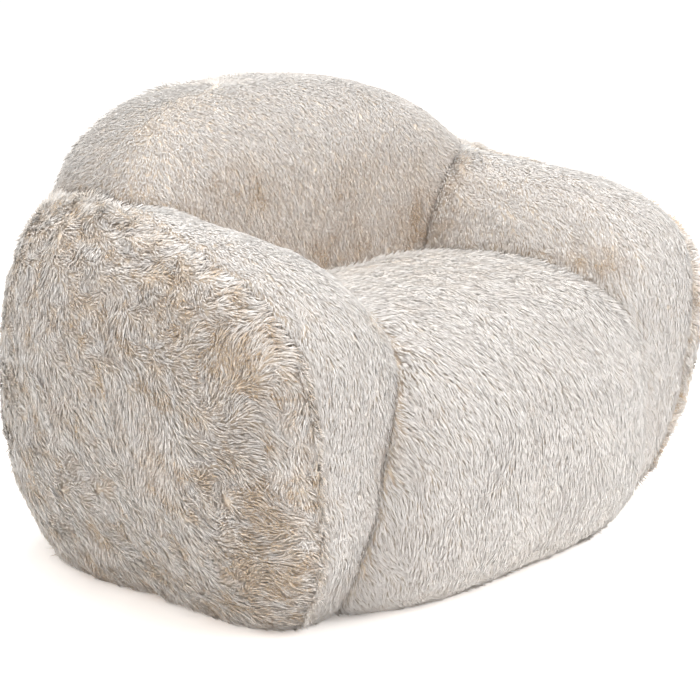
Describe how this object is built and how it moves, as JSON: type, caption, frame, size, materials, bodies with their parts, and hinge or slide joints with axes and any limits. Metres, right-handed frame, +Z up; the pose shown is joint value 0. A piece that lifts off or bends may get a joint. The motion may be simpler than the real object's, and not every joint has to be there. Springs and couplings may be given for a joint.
{
  "type": "bean bag chair",
  "caption": "Low furred bean bag armchair with two puffed arms, a rounded back, a deep seat and a zipped non-slip base.",
  "frame": {"origin": "on the floor, under the middle of the chair, where its seat and arms share their centre plane", "axes": "+Z up, the seat opens towards -Y, +X is to the right of someone who faces the chair"},
  "size_m": [1.158, 0.9601, 0.7459],
  "materials": {
    "cream_fur": "long combed pile, cream with a tan undercoat",
    "base_fabric": "matt woven polyester with small non-slip dots",
    "zip_tape": "herringbone woven tape",
    "zip_moulding": "moulded acetal, satin",
    "zip_metal": "tumbled nickel plate",
    "liner_fabric": "plain white woven cloth, full of polystyrene beads"
  },
  "bodies": {
    "chair": {"left_arm_side_panel": "cream_fur", "left_arm_band": "cream_fur", "right_arm_side_panel": "cream_fur", "right_arm_band": "cream_fur", "seat_panel": "cream_fur", "inner_back_panel": "cream_fur", "outer_back_panel": "cream_fur", "base_front_panel": "base_fabric", "base_rear_panel": "base_fabric", "zip_front_tape": "zip_tape", "zip_rear_tape": "zip_tape", "zip_front_teeth": "zip_moulding", "zip_rear_teeth": "zip_moulding", "zip_top_stops": "zip_moulding", "zip_bottom_stop": "zip_moulding", "seat_bead_bag": "liner_fabric", "back_bead_bag": "liner_fabric", "left_arm_bead_bag": "liner_fabric", "right_arm_bead_bag": "liner_fabric"},
    "zip_slider": {"zip_slider": "zip_metal"},
    "zip_pull": {"zip_pull_tab": "zip_metal"}
  },
  "joints": [
    {"name": "zip_slide", "type": "slide", "parent": "chair", "child": "zip_slider", "axis": [-1, 0, 0], "range_m": [0, 0.425], "deforming": ["zip_front_teeth", "zip_rear_teeth"]},
    {"name": "zip_pull_swing", "type": "hinge", "parent": "zip_slider", "child": "zip_pull", "pos_m": [0.223, -0.07, 0.0077], "axis": [0, -1, 0], "range_deg": [0, 150]}
  ]
}
